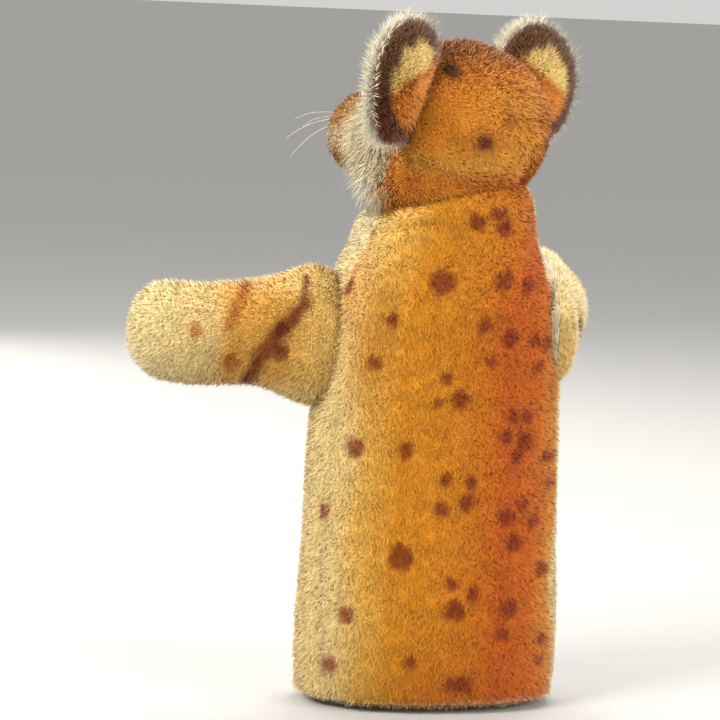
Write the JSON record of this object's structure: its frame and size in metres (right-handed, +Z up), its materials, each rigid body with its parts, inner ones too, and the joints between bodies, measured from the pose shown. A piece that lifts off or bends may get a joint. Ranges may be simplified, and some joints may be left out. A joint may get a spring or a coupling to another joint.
{
  "type": "hand puppet",
  "caption": "Plush glove puppet of a spotted big cat cub, worn on a hand: a finger goes up a tube in the stuffed head and two more go into the arms.",
  "frame": {"origin": "centre of the glove's open hem, in the plane it stands on", "axes": "+Z up from the hem to the head, -Y the way the glove's front faces, +X towards the puppet's own left"},
  "size_m": [0.1679, 0.1038, 0.239],
  "materials": {
    "golden_mohair": "short mohair pile, airbrushed with brown spots",
    "cream_mohair": "pale mohair pile, longer on cheeks and ears",
    "tan_plush": "very short plush",
    "backing_cloth": "woven cotton backing",
    "sewing_thread": "twisted cotton thread",
    "nose_thread": "satin-stitched thread",
    "cardboard": "rolled card",
    "wood_wool": "packed wood wool",
    "eye_core": "gloss black",
    "eye_glass": "clear amber",
    "nylon_bristle": "clear nylon"
  },
  "bodies": {
    "glove": {"back_panel": "golden_mohair", "front_panel": "cream_mohair", "left_side_seam": "backing_cloth", "right_side_seam": "backing_cloth", "hem_facing": "backing_cloth", "hem_stitches": "sewing_thread"},
    "neck": {"neck_band": "backing_cloth", "neck_thread": "sewing_thread"},
    "head": {"finger_tube": "cardboard", "head_filling": "wood_wool", "crown_gusset": "golden_mohair", "left_head_side": "golden_mohair", "right_head_side": "golden_mohair", "left_cheek": "cream_mohair", "right_cheek": "cream_mohair", "chin_panel": "cream_mohair", "muzzle_cloth": "tan_plush", "muzzle_filling": "wood_wool", "nose": "nose_thread", "mouth_stitches": "nose_thread", "left_eye_core": "eye_core", "left_eye_glass": "eye_glass", "right_eye_core": "eye_core", "right_eye_glass": "eye_glass", "left_ear_back": "golden_mohair", "left_ear_front": "cream_mohair", "right_ear_back": "golden_mohair", "right_ear_front": "cream_mohair", "left_whiskers": "nylon_bristle", "right_whiskers": "nylon_bristle", "nape_stitches": "sewing_thread"},
    "left_shoulder": {"left_shoulder_band": "backing_cloth"},
    "left_arm": {"left_arm_back": "golden_mohair", "left_arm_front": "cream_mohair"},
    "right_shoulder": {"right_shoulder_band": "backing_cloth"},
    "right_arm": {"right_arm_back": "golden_mohair", "right_arm_front": "cream_mohair"}
  },
  "joints": [
    {"name": "head_nod", "type": "hinge", "parent": "glove", "child": "neck", "pos_m": [0, 0, 0.168], "axis": [1, 0, 0], "range_deg": [-15, 20]},
    {"name": "head_turn", "type": "hinge", "parent": "neck", "child": "head", "pos_m": [0, 0, 0.168], "axis": [0, 0, 1], "range_deg": [-85, 15]},
    {"name": "left_arm_swing", "type": "hinge", "parent": "glove", "child": "left_shoulder", "pos_m": [0.046, 0, 0.128], "axis": [0, 0, -1], "range_deg": [-22, 76]},
    {"name": "left_arm_raise", "type": "hinge", "parent": "left_shoulder", "child": "left_arm", "pos_m": [0.046, 0, 0.128], "axis": [-0.2079, -0.9781, 0], "range_deg": [-30, 30]},
    {"name": "right_arm_swing", "type": "hinge", "parent": "glove", "child": "right_shoulder", "pos_m": [-0.046, 0, 0.128], "axis": [0, 0, 1], "range_deg": [-94, 4]},
    {"name": "right_arm_raise", "type": "hinge", "parent": "right_shoulder", "child": "right_arm", "pos_m": [-0.046, 0, 0.128], "axis": [-0.9945, 0.1045, 0], "range_deg": [-24, 16]}
  ]
}
